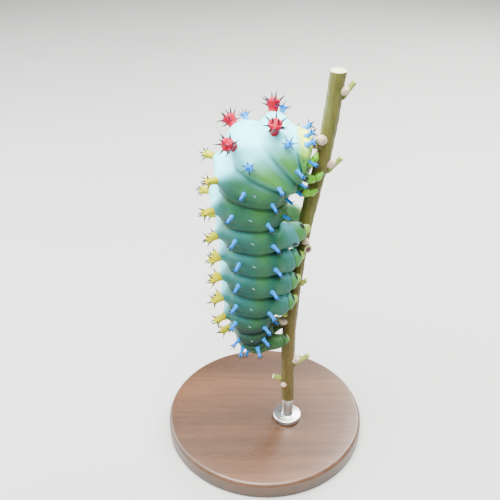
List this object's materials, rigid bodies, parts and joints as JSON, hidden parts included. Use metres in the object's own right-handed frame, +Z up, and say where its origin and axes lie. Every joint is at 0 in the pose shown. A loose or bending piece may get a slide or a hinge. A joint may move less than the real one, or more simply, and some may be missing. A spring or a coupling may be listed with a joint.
{
  "type": "cecropia moth larva",
  "caption": "Thick, bluish green moth larva with red, yellow and blue spiny knobs, head up on a short upright stem over a round base; a life-size still model.",
  "frame": {"origin": "centre of the round base's underside", "axes": "+Z up, along the stem and the larva; +X from the larva's back toward the stem that it holds; +Y toward the larva's left side"},
  "size_m": [0.058, 0.058, 0.113],
  "materials": {
    "skin": "satin",
    "head": "satin",
    "legs": "satin",
    "prolegs": "satin",
    "stem": "matte",
    "base": "satin",
    "rod": "brushed"
  },
  "bodies": {
    "root": {"head": "head", "thorax_1": "skin", "thorax_2": "skin", "thorax_3": "skin", "abdomen_1": "skin", "abdomen_2": "skin", "abdomen_3": "skin", "abdomen_4": "skin", "abdomen_5": "skin", "abdomen_6": "skin", "abdomen_7": "skin", "abdomen_8": "skin", "abdomen_9": "skin", "anal_segment": "skin", "leg_1_right": "legs", "leg_1_left": "legs", "leg_2_right": "legs", "leg_2_left": "legs", "leg_3_right": "legs", "leg_3_left": "legs", "proleg_3_right": "prolegs", "proleg_3_left": "prolegs", "proleg_4_right": "prolegs", "proleg_4_left": "prolegs", "proleg_5_right": "prolegs", "proleg_5_left": "prolegs", "proleg_6_right": "prolegs", "proleg_6_left": "prolegs", "clasper_right": "prolegs", "clasper_left": "prolegs", "perch_stem": "stem", "stand_base": "base", "stand_rod": "rod"}
  },
  "joints": []
}
